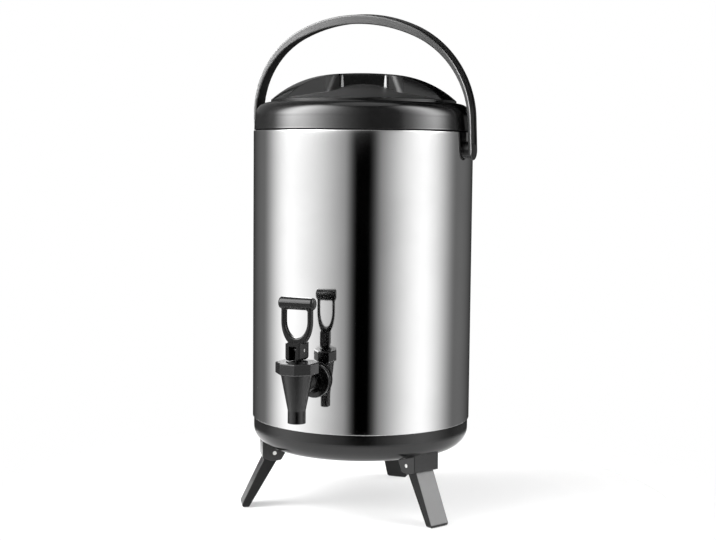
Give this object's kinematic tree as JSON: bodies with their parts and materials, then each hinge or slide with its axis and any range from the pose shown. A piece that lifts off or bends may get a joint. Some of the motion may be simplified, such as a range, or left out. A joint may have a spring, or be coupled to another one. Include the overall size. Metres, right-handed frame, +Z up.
{
  "type": "insulated beverage dispenser",
  "caption": "Insulated steel drink barrel on folding legs, with a bail handle, a screw lid with finger pockets and a lever tap.",
  "frame": {"origin": "on the floor, on the barrel's axis", "axes": "+Z up along the barrel's axis, tap towards -Y, bail pivots on X"},
  "size_m": [0.256, 0.3178, 0.5393],
  "materials": {
    "polished_steel": "polished",
    "brushed_steel": "satin",
    "pin_steel": "satin",
    "black_plastic": "gloss",
    "lid_plastic": "gloss",
    "handle_plastic": "satin",
    "leg_plastic": "satin",
    "tap_plastic": "satin",
    "black_rubber": "matte",
    "seal_silicone": "satin",
    "insulation": "matte"
  },
  "bodies": {
    "barrel": {"outer_shell": "polished_steel", "bottom_plate": "brushed_steel", "inner_liner": "brushed_steel", "insulation_foam": "insulation", "shoulder_ring": "black_plastic", "base_cup": "black_plastic", "bail_pivots": "handle_plastic", "bail_spacers": "handle_plastic", "tap_body": "tap_plastic", "tap_wall_washer": "black_rubber", "tap_inner_washer": "seal_silicone", "tap_nut": "tap_plastic", "tap_bonnet": "tap_plastic", "leg_pin_front_right": "pin_steel", "leg_pin_back": "pin_steel", "leg_pin_front_left": "pin_steel"},
    "bail": {"bail_handle": "handle_plastic"},
    "lid_seal": {"lid_gasket": "seal_silicone"},
    "lid": {"lid_cover": "lid_plastic", "lid_plug": "lid_plastic", "lid_foam": "insulation"},
    "tap_valve": {"tap_stem": "tap_plastic", "tap_seat_cup": "seal_silicone"},
    "tap_lever": {"tap_handle": "tap_plastic", "tap_handle_pin": "pin_steel"},
    "leg_front_right": {"leg_front_right": "leg_plastic"},
    "leg_back": {"leg_back": "leg_plastic"},
    "leg_front_left": {"leg_front_left": "leg_plastic"}
  },
  "joints": [
    {"name": "bail_swing", "type": "hinge", "parent": "barrel", "child": "bail", "pos_m": [0, 0, 0.394], "axis": [1, 0, 0], "range_deg": [-119, 105]},
    {"name": "lid_lift", "type": "slide", "parent": "barrel", "child": "lid_seal", "axis": [0, 0, 1], "range_m": [0, 0.0201]},
    {"name": "lid_turn", "type": "hinge", "parent": "lid_seal", "child": "lid", "pos_m": [0, 0, 0.443], "axis": [0, 0, 1], "range_deg": [0, 360]},
    {"name": "tap_stem_lift", "type": "slide", "parent": "barrel", "child": "tap_valve", "axis": [0, 0, 1], "range_m": [0, 0.0048]},
    {"name": "tap_handle_tilt", "type": "hinge", "parent": "tap_valve", "child": "tap_lever", "pos_m": [0, -0.164, 0.1932], "axis": [1, 0, 0], "range_deg": [0, 35], "stiffness_Nm_per_rad": 0.4, "springref_deg": -5.73},
    {"name": "leg_fold_front_right", "type": "hinge", "parent": "barrel", "child": "leg_front_right", "pos_m": [0.08633, -0.04552, 0.0613], "axis": [0.4664, 0.8846, 0], "range_deg": [0, 118]},
    {"name": "leg_fold_back", "type": "hinge", "parent": "barrel", "child": "leg_back", "pos_m": [-0.00375, 0.09753, 0.0613], "axis": [-0.9993, -0.0384, 0], "range_deg": [0, 118]},
    {"name": "leg_fold_front_left", "type": "hinge", "parent": "barrel", "child": "leg_front_left", "pos_m": [-0.08259, -0.05201, 0.0613], "axis": [0.5329, -0.8462, 0], "range_deg": [0, 118]}
  ],
  "couplings": [
    {"joint": "lid_lift", "follows": "lid_turn", "m_per_rad": 0.0031831},
    {"joint": "tap_stem_lift", "follows": "tap_handle_tilt", "m_per_rad": 0.00735}
  ]
}
